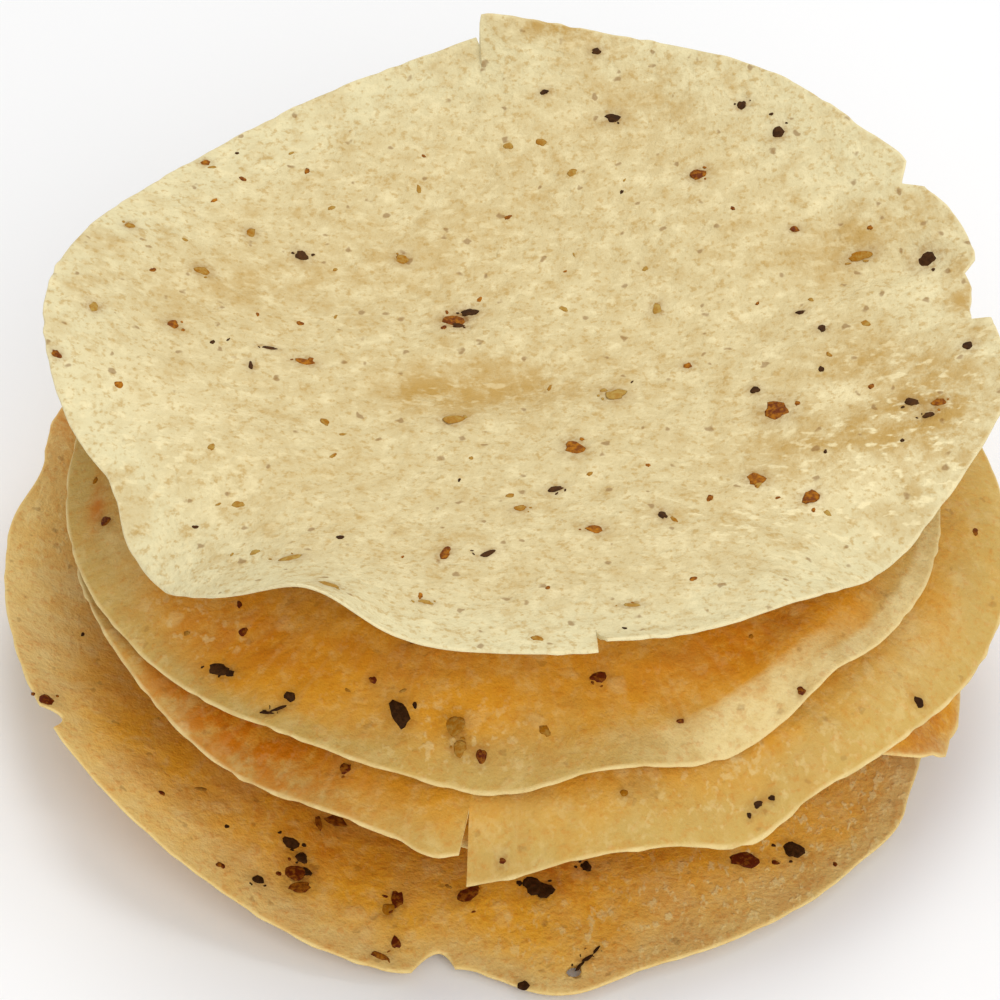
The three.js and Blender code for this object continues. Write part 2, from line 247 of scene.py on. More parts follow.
BROWN_MARKS = {
    "papadum_bottom": [
        (42.0, -62.5, 6.0, 3.6, 10), (-35.5, -68.5, 4.0, 4.2, 0), (-34.5, -71.5, 4.4, 2.8, 20),
        (-6.0, -71.0, 2.8, 5.0, -35), (-18.0, -81.0, 1.8, 2.4, 0), (-79.5, -41.0, 2.8, 3.4, -40),
        (-29.0, -55.0, 3.8, 3.8, 10), (-20.5, -84.0, 3.6, 1.4, -15), (-32.0, -56.5, 1.2, 3.8, 10),
        (-18.0, -72.0, 2.4, 4.4, 0)],
    "papadum_second": [
        (16.0, -56.5, 3.4, 2.0, 5), (-69.8, -16.0, 1.8, 2.8, 0), (-3.5, -70.5, 2.0, 2.4, 0),
        (-21.5, -57.5, 1.4, 1.4, 0), (-15.0, -50.0, 1.6, 1.4, 0), (50.0, -56.0, 1.6, 1.6, 0),
        (29.5, -62.5, 1.4, 1.0, 0)],
    "papadum_third": [
        (-26.0, -69.0, 2.2, 2.0, 30), (0.0, -81.5, 1.2, 1.2, 0)],
    "papadum_top": [
        (12.5, -13.0, 3.4, 4.0, 20), (48.0, -5.5, 4.6, 5.0, 0), (-35.0, 8.0, 3.6, 1.8, -5),
        (43.5, -22.0, 3.4, 3.0, 0), (52.5, -26.5, 2.8, 3.6, -20), (-8.5, 22.5, 5.0, 3.6, 10),
        (36.5, 53.0, 3.2, 2.8, 20), (-9.5, -43.0, 1.8, 3.6, -20), (15.5, -35.5, 3.2, 2.2, -20),
        (75.5, -9.0, 2.6, 2.0, 0), (33.0, 8.5, 1.6, 1.6, 0), (-77.0, -4.0, 1.8, 2.2, 30),
        (-56.0, 61.0, 2.0, 1.6, 0), (53.5, 37.5, 1.8, 1.6, 0), (-58.5, 12.5, 2.4, 2.4, 0)],
}
OLIVE_MARKS = {
    "papadum_second": [
        (-8.0, -66.0, 3.4, 4.0, 10), (-7.0, -69.5, 2.4, 2.8, -10)],
    "papadum_bottom": [
        (-19.5, -74.5, 2.4, 3.0, 10)],
    "papadum_third": [
        (20.0, -74.0, 1.6, 1.2, 15)],
    "papadum_top": [
        (-8.5, -4.5, 4.2, 2.4, 20), (20.0, 1.0, 3.8, 3.2, 0), (-18.5, 38.5, 2.4, 2.6, 0),
        (-72.0, 10.5, 2.0, 2.6, 0), (-28.0, -59.0, 3.8, 2.0, -30), (-12.5, -57.5, 2.6, 1.2, 0),
        (21.0, -57.0, 3.0, 1.0, 0), (-68.0, 37.0, 2.2, 1.8, 40), (65.0, 30.5, 5.0, 1.8, 8),
        (28.0, 23.5, 1.8, 2.6, 0), (-46.5, 42.5, 2.0, 2.4, 0), (-35.0, -46.0, 4.0, 1.6, 10),
        (3.0, -29.5, 2.6, 1.6, 20), (-54.5, 29.0, 3.0, 2.4, 0)],
}


def turn_from(start, angle):
    """The signed turn from start to each angle, between -180 and 180 degrees."""
    return (np.asarray(angle, float) - start + 180.0) % 360.0 - 180.0


def hump(distance, spread):
    """A smooth hump: one at distance 0, falling by the square of distance over spread."""
    return np.exp(-((distance / spread) ** 2))


def smooth_step(value):
    """Nought below 0, one above 1, and an even S between them."""
    t = np.clip(value, 0.0, 1.0)
    return t * t * (3.0 - 2.0 * t)


def whole_radius(sheet, angle):
    """The outline's radius before bites and tears: the sheet's radius and its bulges."""
    radius = np.full(np.shape(angle), sheet["radius"])
    for at, spread, out in sheet["bulges"]:
        radius = radius + out * hump(turn_from(at, angle), spread)
    return radius


def rim_radius(sheet, angle):
    """The outline's radius with its bites and tears taken out."""
    radius = whole_radius(sheet, angle)
    for at, before, after, depth, bluntness in sheet["nicks"]:
        turn = turn_from(at, angle)
        from_tip = np.abs(turn) / np.where(turn < 0.0, before, after)
        radius = radius - depth * np.clip(1.0 - from_tip**bluntness, 0.0, 1.0)
    return radius


def patch(x, y, row):
    """A long soft patch about its own middle, at its given strength."""
    middle_x, middle_y, along, across, slant, strength = row
    turn = math.radians(slant)
    forward = (x - middle_x) * math.cos(turn) + (y - middle_y) * math.sin(turn)
    sideways = (y - middle_y) * math.cos(turn) - (x - middle_x) * math.sin(turn)
    return strength * hump(forward, along) * hump(sideways, across)


def sheet_height(sheet, radius, angle):
    """Height of the sheet's middle layer.

    From the middle height to the rim height by a power of the share of the way out, plus each rim
    wave times a higher power, plus the lifted sides of tears and the dents.
    """
    whole = whole_radius(sheet, angle)
    share = radius / whole
    rise_to_rim = sheet["rim_height"] - sheet["middle_height"]
    height = sheet["middle_height"] + rise_to_rim * share ** sheet["steepening"]
    for at, spread, rise in sheet["waves"]:
        power = max(sheet["steepening"], INWARD_FADE / spread)
        height = height + rise * hump(turn_from(at, angle), spread) * share**power
    for at, fade, rise, depth in sheet["flaps"]:
        turn = turn_from(at, angle) * math.copysign(1.0, fade)
        side = np.where(turn > 0.0, np.exp(-((np.abs(turn) / abs(fade)) ** 1.5)), 0.0)
        height = height + rise * side * smooth_step(1.0 - (whole - radius) / depth)
    x = sheet["centre"][0] + radius * np.cos(np.radians(angle))
    y = sheet["centre"][1] + radius * np.sin(np.radians(angle))
    for row in sheet["dents"]:
        height = height + patch(x, y, row)
    return height


def lattice_noise(u, v, seed):
    """Smooth noise between -1 and 1: random values on a unit lattice, blended by an even S."""
    period = 64
    table = np.random.default_rng(seed).uniform(-1.0, 1.0, (period, period))
    column, row = np.floor(u).astype(int), np.floor(v).astype(int)
    s, t = smooth_step(u - column), smooth_step(v - row)
    here, beyond = column % period, (column + 1) % period
    low, high = row % period, (row + 1) % period
    near = table[here, low] * (1.0 - s) + table[beyond, low] * s
    far = table[here, high] * (1.0 - s) + table[beyond, high] * s
    return near * (1.0 - t) + far * t


def sheet_relief(sheet, x, y, sizes):
    """Bubbles and ripples of the fried dough: noise at four widths, the bubbles squared to stand up."""
    seed = sheet["seed"] * 10
    swell = lattice_noise(x / SWELL_WIDTH, y / SWELL_WIDTH, seed) * sizes.swell_height / MM
    ripple = lattice_noise(x / RIPPLE_WIDTH, y / RIPPLE_WIDTH, seed + 1) * sizes.ripple_height / MM
    bubble = lattice_noise(x / sizes.bubble_width * MM, y / sizes.bubble_width * MM, seed + 2)
    finest = lattice_noise(x / FINEST_WIDTH, y / FINEST_WIDTH, seed + 3)
    bubbles = bubble**2 * np.sign(bubble) + FINEST_SHARE * finest
    return swell + ripple + bubbles * sizes.bubble_height / MM


def column_angles(sheet, count):
    """Even angles round the sheet, with closer ones across each nick, in rising order."""
    angles = [np.arange(count) * 360.0 / count]
    for at, before, after, _, _ in sheet["nicks"]:
        angles.append(at + np.linspace(-1.2, 0.0, 7) * before)
        angles.append(at + np.linspace(0.2, 1.2, 6) * after)
    return np.unique(np.concatenate(angles) % 360.0)


def disc_section(under_rings, upper_rings, thickness):
    """Points of the disc's section from the middle of the underside, round the rim, to the top.

    Each has its share of the way out, its height in half thicknesses, and how far it is drawn in
    from the rim, which is a half circle.
    """
    under = [(i / under_rings, -1.0, thickness / 2.0 if i == under_rings else 0.0)
             for i in range(under_rings + 1)]
    turns = np.radians([-60.0, -30.0, 0.0, 30.0, 60.0])
    edge = [(1.0, math.sin(t), (1.0 - math.cos(t)) * thickness / 2.0) for t in turns]
    upper = [(i / upper_rings, 1.0, thickness / 2.0 if i == upper_rings else 0.0)
             for i in range(upper_rings, -1, -1)]
    return np.array(under + edge + upper).T


def layer_height(sheet, radius, angle, sizes):
    """Height of the middle layer with its bubbles, kept off the floor, and half the thickness there.

    Both the bubbles and the thickness shrink over the rim's zone.
    """
    x = sheet["centre"][0] + radius * np.cos(np.radians(angle))
    y = sheet["centre"][1] + radius * np.sin(np.radians(angle))
    near_rim = smooth_step((radius / whole_radius(sheet, angle) - 1.0 + RIM_ZONE) / RIM_ZONE)
    half = sizes.thickness / MM / 2.0 * (1.0 - RIM_THINNING * near_rim)
    relief = sheet_relief(sheet, x, y, sizes) * (1.0 - RIM_CALM * near_rim)
    return np.maximum(sheet_height(sheet, radius, angle) + relief - SINK, half), half


def sheet_surface(sheet, share, side, drawn_in, angle, sizes):
    """Points of a sheet at a share of the way out and an angle.

    Inside the steady share the radius is that share of the whole one, and outside it runs on to the
    bitten rim. The height is the middle layer's and the side's share of half the thickness.
    """
    whole = whole_radius(sheet, angle)
    fray = FRAY_DEPTH * (lattice_noise(angle / FRAY_TURN, angle * 0.0, sheet["seed"] + 500) - 1.0)
    outward = np.clip((share - STEADY_SHARE) / (1.0 - STEADY_SHARE), 0.0, 1.0)
    steady = whole * np.minimum(share, STEADY_SHARE)
    radius = steady + (rim_radius(sheet, angle) + fray - whole * STEADY_SHARE) * outward - drawn_in
    radius = np.maximum(radius, 0.0)
    x = sheet["centre"][0] + radius * np.cos(np.radians(angle))
    y = sheet["centre"][1] + radius * np.sin(np.radians(angle))
    height, half = layer_height(sheet, radius, angle, sizes)
    return np.stack([x, y, height + side * half], axis=-1)


def closed_shell(points):
    """Faces of a shell whose first and last rows each shrink to one point, facing outwards."""
    rows, columns = points.shape[:2]
    body = points[1:-1].reshape(-1, 3)
    vertices = np.concatenate([body, points[0, :1], points[-1, :1]])
    first, last = len(body), len(body) + 1
    index = np.arange((rows - 2) * columns).reshape(rows - 2, columns)
    right = np.roll(index, -1, axis=1)
    quads = np.stack([index[:-1], right[:-1], right[1:], index[1:]], axis=-1).reshape(-1, 4)
    under = np.stack([np.full(columns, first), right[0], index[0]], axis=-1)
    upper = np.stack([np.full(columns, last), index[-1], right[-1]], axis=-1)
    return vertices, quads, np.concatenate([under, upper])


def add_mesh(name, vertices, faces, material):
    """A smooth-shaded mesh object at the origin, from vertices in millimetres and lists of faces."""
    mesh = bpy.data.meshes.new(name)
    mesh.from_pydata((vertices * MM).tolist(), [], [row for block in faces for row in block.tolist()])
    mesh.polygons.foreach_set("use_smooth", np.ones(len(mesh.polygons), bool))
    mesh.materials.append(material)
    mesh.update()
    piece = bpy.data.objects.new(name, mesh)
    bpy.context.scene.collection.objects.link(piece)
    return piece


def pierce(piece, x, y, radius):
    """Cuts a round upright hole through a piece, by taking a many-sided pin away from it."""
    corner = np.arange(PIN_SIDES)
    right = np.roll(corner, -1)
    turns = corner * 2.0 * math.pi / PIN_SIDES
    rings = [np.stack([x + radius * np.cos(turns), y + radius * np.sin(turns), turns * 0.0 + end], axis=-1)
             for end in PIN_ENDS]
    sides = np.stack([corner, right, right + PIN_SIDES, corner + PIN_SIDES], axis=-1)
    ends = [corner[::-1][None], corner[None] + PIN_SIDES]
    pin = add_mesh("hole_pin", np.concatenate(rings), [sides, *ends], piece.data.materials[0])
    cut = piece.modifiers.new("hole", "BOOLEAN")
    cut.operation = "DIFFERENCE"
    cut.object = pin
    cut.solver = "EXACT"
    pierced = bpy.data.meshes.new_from_object(piece.evaluated_get(bpy.context.evaluated_depsgraph_get()))
    piece.modifiers.remove(cut)
    piece.data = pierced
    bpy.data.objects.remove(pin)


def vertex_places(piece):
    """The vertices of a piece in millimetres."""
    places = np.empty(len(piece.data.vertices) * 3, np.float32)
    piece.data.vertices.foreach_get("co", places)
    return places.reshape(-1, 3).astype(float) / MM


def patch_sum(rows, vertices):
    """The strengths of all patches at every vertex, between 0 and 1."""
    total = np.zeros(len(vertices))
    for row in rows:
        total += patch(vertices[:, 0], vertices[:, 1], row)
    return np.clip(total, 0.0, 1.0)


def rim_paleness(sheet, reach, angle):
    """Nought inside where the pale rim starts and one at the outline, by direction. The deeper middle that
    it leaves is partly painted shade.
    """
    start = np.full(len(reach), sheet["pale_from"])
    for at, spread, shift in sheet["pale_turns"]:
        start += shift * hump(turn_from(at, angle), spread)
    return smooth_step((reach - start) / (1.0 - start))


def lit_lip_sum(sheet, reach, angle):
    """Painted light on stretches of the rim that face the light: each fades along the rim and sets in over
    a short way outwards.
    """
    total = np.zeros(len(reach))
    for at, spread, start, strength in sheet["lit_lips"]:
        total += strength * hump(turn_from(at, angle), spread) * smooth_step((reach - start) / LIT_LIP_FADE)
    return total


def stain_sum(sheet_name, vertices):
    """Soft brown rings in the dough round the flecks that stand out, a little wider than each."""
    total = np.zeros(len(vertices))
    for marks in (PEPPER_MARKS, BROWN_MARKS, OLIVE_MARKS):
        for x, y, length, width, turn in marks.get(sheet_name, []):
            along = STAIN_MARGIN + length * STAIN_SPREAD
            across = STAIN_MARGIN + width * STAIN_SPREAD
            total += patch(vertices[:, 0], vertices[:, 1], (x, y, along, across, turn, STAIN_STRENGTH))
    return np.clip(total, 0.0, 1.0)


def spokes(sheet, vertices):
    """Places on a cylinder over the rim, for fibres that run outwards.

    Every vertex is moved out to the sheet's radius in its own direction, and its height is a tenth
    of its distance from the middle.
    """
    away = vertices[:, :2] - np.array(sheet["centre"])
    distance = np.maximum(np.linalg.norm(away, axis=1, keepdims=True), 0.1)
    return np.concatenate([away / distance * sheet["radius"], distance * 0.1], axis=1) * MM


def add_directions(piece, name, vectors):
    """Stores one vector a vertex under a name that the material reads."""
    attribute = piece.data.attributes.new(name, "FLOAT_VECTOR", "POINT")
    attribute.data.foreach_set("vector", vectors.astype(np.float32).ravel())


def add_values(piece, name, values):
    """Stores one number a vertex under a name that the material reads."""
    attribute = piece.data.attributes.new(name, "FLOAT", "POINT")
    attribute.data.foreach_set("value", values.astype(np.float32))


def linear(red, green, blue):
    """A colour as the screen gives it, from 0 to 255, as the light values that Blender works in."""
    parts = [c / 255.0 for c in (red, green, blue)]
    return tuple(c / 12.92 if c <= 0.04045 else ((c + 0.055) / 1.055) ** 2.4 for c in parts)


class Nodes:
    """Short names for putting a material's nodes in and joining them."""

    def __init__(self, name):
        self.material = bpy.data.materials.new(name)
        self.material.use_nodes = True
        self.tree = self.material.node_tree
        self.shader = self.tree.nodes["Principled BSDF"]
        self.place = self.tree.nodes.new("ShaderNodeTexCoord").outputs["Object"]

    def put(self, socket, value):
        """Joins a socket to another node's output, or sets it to a number or colour."""
        if isinstance(value, bpy.types.NodeSocket):
            self.tree.links.new(value, socket)
        elif isinstance(value, tuple) and len(value) == 3 and socket.type == "RGBA":
            socket.default_value = (*value, 1.0)
        else:
            socket.default_value = value

    def noise(self, width, detail=2.0, roughness=0.5, place=None):
        """Cloudy noise whose patches are about the given width in metres."""
        node = self.tree.nodes.new("ShaderNodeTexNoise")
        node.inputs["Scale"].default_value = 1.0 / width
        node.inputs["Detail"].default_value = detail
        node.inputs["Roughness"].default_value = roughness
        self.put(node.inputs["Vector"], place or self.place)
        return node.outputs["Fac"]

    def stretched(self, x, y, z):
        """The place with each of its directions drawn out or pressed together."""
        node = self.tree.nodes.new("ShaderNodeVectorMath")
        node.operation = "MULTIPLY"
        self.put(node.inputs[0], self.place)
        node.inputs[1].default_value = (x, y, z)
        return node.outputs["Vector"]

    def spots(self, width, radius, softness, share):
        """Uneven round spots in a share of the cells; radius and softness are parts of the width."""
        shift = self.tree.nodes.new("ShaderNodeVectorMath")
        shift.operation = "MULTIPLY_ADD"
        wander = self.tree.nodes.new("ShaderNodeTexNoise")
        wander.inputs["Scale"].default_value = 3.0 / width
        wander.inputs["Detail"].default_value = 0.0
        self.put(wander.inputs["Vector"], self.place)
        self.put(shift.inputs[0], wander.outputs["Color"])
        shift.inputs[1].default_value = (width * 0.35,) * 3
        self.put(shift.inputs[2], self.place)
        node = self.tree.nodes.new("ShaderNodeTexVoronoi")
        node.inputs["Scale"].default_value = 1.0 / width
        self.put(node.inputs["Vector"], shift.outputs["Vector"])
        pick = self.tree.nodes.new("ShaderNodeSeparateColor")
        self.put(pick.inputs["Color"], node.outputs["Color"])
        chosen = self.math("LESS_THAN", pick.outputs["Red"], share)
        size = self.math("MULTIPLY_ADD", pick.outputs["Green"], 0.6 * radius)
        self.put(size.node.inputs[2], 0.4 * radius)
        inside = self.spread(self.math("SUBTRACT", node.outputs["Distance"], size), softness, 0.0)
        return self.math("MULTIPLY", inside, chosen)

    def value(self, name):
        """One of the piece's own numbers per vertex."""
        node = self.tree.nodes.new("ShaderNodeAttribute")
        node.attribute_name = name
        return node.outputs["Fac"]

    def way(self, name):
        """One of the piece's own directions per vertex."""
        node = self.tree.nodes.new("ShaderNodeAttribute")
        node.attribute_name = name
        return node.outputs["Vector"]

    def spread(self, value, low, high, to_low=0.0, to_high=1.0):
        """Stretches a range of a value onto another, smoothly and held at its ends."""
        node = self.tree.nodes.new("ShaderNodeMapRange")
        node.interpolation_type = "SMOOTHSTEP"
        for socket, v in zip(node.inputs, (value, low, high, to_low, to_high)):
            self.put(socket, v)
        return node.outputs["Result"]

    def math(self, kind, a, b, held=False):
        """One sum on two values."""
        node = self.tree.nodes.new("ShaderNodeMath")
        node.operation = kind
        node.use_clamp = held
        self.put(node.inputs[0], a)
        self.put(node.inputs[1], b)
        return node.outputs[0]

    def mix(self, share, a, b):
        """One colour turning into another by a share."""
        node = self.tree.nodes.new("ShaderNodeMix")
        node.data_type = "RGBA"
        self.put(node.inputs["Factor"], share)
        self.put(node.inputs["A"], a)
        self.put(node.inputs["B"], b)
        return node.outputs["Result"]

    def bump(self, height, distance, strength, under=None):
        """Tilts the surface by a height map of the given depth in metres."""
        node = self.tree.nodes.new("ShaderNodeBump")
        node.inputs["Distance"].default_value = distance
        node.inputs["Strength"].default_value = strength
        self.put(node.inputs["Height"], height)
        if under is not None:
            self.put(node.inputs["Normal"], under)
        return node.outputs["Normal"]


def dough_material(name, inner, outer, toasted_and_shaded, cream, pit, coarseness, flake_run):
    """Fried dough: a deeper middle, a pale rim, browned and lighter patches, blisters, flakes and pits; the
    middle and the browned patches are partly painted shade, the lighter patches partly painted light, and
    the flakes and the pale edge partly painted highlights.

    Coarseness is how strongly the clouds, the grain, the pits and the stains under the crust show.
    The flake run is how closely the flakes lie from left to right, from front to back and upwards.
    """
    n = Nodes(name)
    cloud = n.noise(CLOUD_WIDTH, 2.0, 0.6)
    mottle = n.noise(MOTTLE_WIDTH, 4.0, 0.68)
    grain = n.noise(GRAIN_WIDTH, 2.0, 0.65)
    flakes = n.noise(FLAKE_WIDTH, 2.0, 0.62, n.stretched(*flake_run))
    fibre = n.noise(FIBRE_WIDTH, 1.0, 0.55, n.way("spoke"))
    drift = n.math("MULTIPLY", n.math("SUBTRACT", cloud, 0.44), 1.0 + 1.4 * coarseness)
    # From the deeper middle to the pale rim; the deeper middle is partly painted shade.
    colour = n.mix(n.math("ADD", n.value("rim"), drift, True), inner, outer)
    # Browned patches: partly browned dough and partly painted shade.
    browning_and_shade = n.math("MULTIPLY", n.value("toast"), n.spread(mottle, 0.34, 0.6, 0.3, 1.15), True)
    colour = n.mix(browning_and_shade, colour, toasted_and_shaded)
    colour = n.mix(n.math("MULTIPLY", n.spread(cloud, 0.48, 0.7), 0.3 * coarseness), colour, toasted_and_shaded)
    colour = n.mix(n.math("MULTIPLY", n.spread(mottle, 0.5, 0.74), 0.5 * coarseness), colour, toasted_and_shaded)
    unbrowned_unshaded = n.math("SUBTRACT", 1.0, n.value("toast"), True)
    pale_clouds = n.math("MULTIPLY", n.spread(mottle, 0.5, 0.3), unbrowned_unshaded)
    colour = n.mix(n.math("MULTIPLY", pale_clouds, 0.5 * coarseness), colour, cream)
    colour = n.mix(n.math("MULTIPLY", n.spread(fibre, 0.5, 0.75), 0.08), colour, cream)
    # Lighter patches and lit stretches of the rim: partly paler dough and partly painted light.
    creamy_and_lit = n.math("MULTIPLY", n.value("cream"), n.spread(mottle, 0.66, 0.4, 0.55, 1.0))
    colour = n.mix(creamy_and_lit, colour, cream)
    blotches = n.spots(0.0062, 0.2, 0.16, 0.5)
    colour = n.mix(n.math("MULTIPLY", blotches, 0.22), colour, cream)
    colour = n.mix(n.math("MULTIPLY", n.spread(grain, 0.5, 0.72), 0.6 * coarseness), colour, toasted_and_shaded)
    # Pale flakes: partly the blisters' own colour and partly painted highlights, most where the glint
    # patches are.
    flake_and_glint_share = n.math("ADD", n.value("glint"), 0.3 * coarseness)
    pale_flakes_and_glints = n.math("MULTIPLY", n.spread(flakes, 0.54, 0.68), flake_and_glint_share, True)
    colour = n.mix(n.math("MULTIPLY", pale_flakes_and_glints, 0.85), colour, cream)
    browned = n.math("MULTIPLY", n.value("stain"), n.spread(grain, 0.3, 0.6, 0.35, 0.8))
    colour = n.mix(browned, colour, pit)
    pits = n.spots(0.0036, 0.14, 0.12, 0.4)
    colour = n.mix(n.math("MULTIPLY", pits, 0.6 * coarseness), colour, pit)
    # A pale line along the outline: partly the dough's paler edge and partly a painted highlight.
    edge = n.math("MULTIPLY", n.value("edge"), n.spread(mottle, 0.35, 0.6, 0.45, 0.9))
    colour = n.mix(edge, colour, cream)
    n.put(n.shader.inputs["Base Color"], colour)
    n.put(n.shader.inputs["Roughness"], n.spread(mottle, 0.3, 0.7, 0.5, 0.68))
    n.shader.inputs["Specular IOR Level"].default_value = 0.12
    relief = n.bump(mottle, 0.001, 0.3 + 0.2 * coarseness)
    relief = n.bump(n.math("ADD", pale_flakes_and_glints, blotches), 0.0002, 0.4, relief)
    n.put(n.shader.inputs["Normal"], n.bump(grain, 0.0005, 0.35 + 0.35 * coarseness, relief))
    return n.material


def fleck_material(name, dark, light, gloss):
    """A dry broken spice: two tones in fine grain, lighter as the piece's tint says, with a rough bump."""
    n = Nodes(name)
    grain = n.noise(0.0009, 3.0, 0.6)
    lightness = n.math("ADD", n.spread(grain, 0.35, 0.7, -0.3, 0.3), n.value("tint"), True)
    n.put(n.shader.inputs["Base Color"], n.mix(lightness, dark, light))
    n.put(n.shader.inputs["Roughness"], n.spread(grain, 0.3, 0.7, gloss, gloss + 0.25))
    n.shader.inputs["Specular IOR Level"].default_value = 0.06
    n.put(n.shader.inputs["Normal"], n.bump(grain, 0.0003, 0.6))
    return n.material


def colour_property(name, description, colour):
    """A colour that a user can change."""
    return bpy.props.FloatVectorProperty(
        name=name, description=description, default=colour, size=3, min=0.0, max=1.0, subtype="COLOR")


def length_property(name, description, metres):
    """A length that a user can change."""
    return bpy.props.FloatProperty(
        name=name, description=description, default=metres, min=0.0, subtype="DISTANCE", unit="LENGTH",
        precision=5)


class PapadumDough(bpy.types.PropertyGroup):
    """Sizes and colours of the fried sheets."""

    thickness: length_property("Thickness", "Thickness of every sheet", 0.0012)
    bubble_width: length_property("Bubble width", "Width of the small bubbles", 0.0033)
    bubble_height: length_property("Bubble height", "Height of the small bubbles", 0.0003)
    ripple_height: length_property("Ripple height", "Height of the finger-wide ripples", 0.0003)
    swell_height: length_property("Swell height", "Height of the broad swells", 0.0005)
    columns: bpy.props.IntProperty(name="Columns", description="Columns of faces", default=560, min=60)
    # Each finish's middle is partly the dough's colour and partly painted shade; its browned colour also
    # paints shade, and its pale flake colour also paints light and highlights.
    pale_inner: colour_property("Pale middle", "Middle of the palest sheet", linear(211, 192, 143))
    pale_outer: colour_property("Pale rim", "Rim of the palest sheet", linear(220, 208, 164))
    pale_toasted_and_shaded: colour_property("Pale toast", "Browned patches of the palest sheet", linear(184, 147, 77))
    pale_cream: colour_property("Pale cream", "Flakes and rim of the palest sheet", linear(238, 223, 176))
    # The golden middle's bright orange also paints the glow of light passing through the sheet above, and
    # the golden rim is darkened a little by painted shade.
    golden_inner: colour_property("Golden middle", "Middle of the golden sheets", linear(222, 156, 42))
    golden_outer: colour_property("Golden rim", "Rim of the golden sheets", linear(202, 168, 92))
    golden_toasted_and_shaded: colour_property("Golden toast", "Browned patches of golden sheets", linear(200, 114, 4))
    golden_cream: colour_property("Golden cream", "Flakes and rim of golden sheets", linear(236, 212, 150))
    amber_inner: colour_property("Amber middle", "Middle of the amber sheets", linear(236, 173, 48))
    amber_outer: colour_property("Amber rim", "Rim of the amber sheets", linear(224, 188, 112))
    amber_toasted_and_shaded: colour_property("Amber toast", "Browned patches of amber sheets", linear(206, 120, 20))
    amber_cream: colour_property("Amber cream", "Flakes and rim of amber sheets", linear(238, 212, 144))
    pit: colour_property("Pits", "Small pits and the stains round flecks", linear(132, 88, 36))


class PapadumSpice(bpy.types.PropertyGroup):
    """Sizes and colours of the spice flecks."""

    pepper: colour_property("Pepper", "Cracked black pepper", linear(50, 28, 10))
    pepper_light: colour_property("Pepper, light", "Broken faces of the pepper", linear(84, 52, 24))
    brown: colour_property("Brown spice", "Toasted brown husk", linear(92, 34, 10))
    brown_light: colour_property("Brown spice, light", "Thin parts of the brown husk", linear(188, 120, 26))
    olive: colour_property("Olive spice", "Soft herb under the crust", linear(158, 100, 12))
    olive_light: colour_property("Olive spice, light", "Thin parts of the herb", linear(180, 150, 78))
    proud: length_property("Standing height", "How far a fleck stands out of the dough", 0.00016)
    sunk: length_property("Sunk depth", "How far a fleck is sunk into the dough", 0.0004)
    scatter: bpy.props.IntProperty(
        name="Scatter", description="Small flecks on each sheet", default=34, min=0)


class PapadumStudio(bpy.types.PropertyGroup):
    """Camera, floor and lights."""

    floor: colour_property("Floor", "Colour of the bare surface", (0.89, 0.89, 0.89))
    distance: length_property("Camera distance", "From the camera to the stack", 0.6)
    elevation: bpy.props.FloatProperty(
        name="Elevation", description="How far the camera looks down", default=math.radians(43.0),
        subtype="ANGLE", unit="ROTATION")
    lens: bpy.props.FloatProperty(
        name="Lens", description="Focal length in millimetres", default=118.8, min=10.0, unit="CAMERA")
    key: bpy.props.FloatProperty(
        name="Key light", description="Power of the overhead light", default=4.6, min=0.0,
        subtype="POWER", unit="POWER")
    fill: bpy.props.FloatProperty(
        name="Fill light", description="Power of the front light", default=4.8, min=0.0,
        subtype="POWER", unit="POWER")
    sky: bpy.props.FloatProperty(
        name="Sky", description="Strength of the light from all round", default=0.6, min=0.0)


def finish_colours(dough, finish):
    """The colours of one finish: middle, rim, browned colour that also paints shade, pale flake colour that
    also paints light and highlights, and pits.
    """
    parts = [f"{finish}_{part}" for part in ("inner", "outer", "toasted_and_shaded", "cream")] + ["pit"]
    return [tuple(getattr(dough, part)) for part in parts]


def paint_by_place(piece, sheet_name):
    """Stores on a sheet's vertices its paleness, its browned patches and painted shade, its lighter patches
    and painted light, its flakes and painted highlights, its pale edge that is partly a painted highlight,
    and its stains.
    """
    sheet = SHEETS[sheet_name]
    vertices = vertex_places(piece)
    away = vertices[:, :2] - np.array(sheet["centre"])
    angle = np.degrees(np.arctan2(away[:, 1], away[:, 0]))
    reach = np.linalg.norm(away, axis=1) / whole_radius(sheet, angle)
    from_rim = rim_radius(sheet, angle) - np.linalg.norm(away, axis=1)
    add_values(piece, "rim", rim_paleness(sheet, reach, angle))
    add_values(piece, "edge", smooth_step((EDGE_WIDTH - from_rim) / EDGE_FADE))
    add_values(piece, "toast", patch_sum(sheet["toasts_and_shade"], vertices))
    add_values(piece, "glint", patch_sum(sheet["glints"], vertices))
    creams_and_light = patch_sum(sheet["creams_and_light"], vertices) + lit_lip_sum(sheet, reach, angle)
    add_values(piece, "cream", np.clip(creams_and_light, 0.0, 1.0))
    add_values(piece, "stain", stain_sum(sheet_name, vertices))
    add_directions(piece, "spoke", spokes(sheet, vertices))


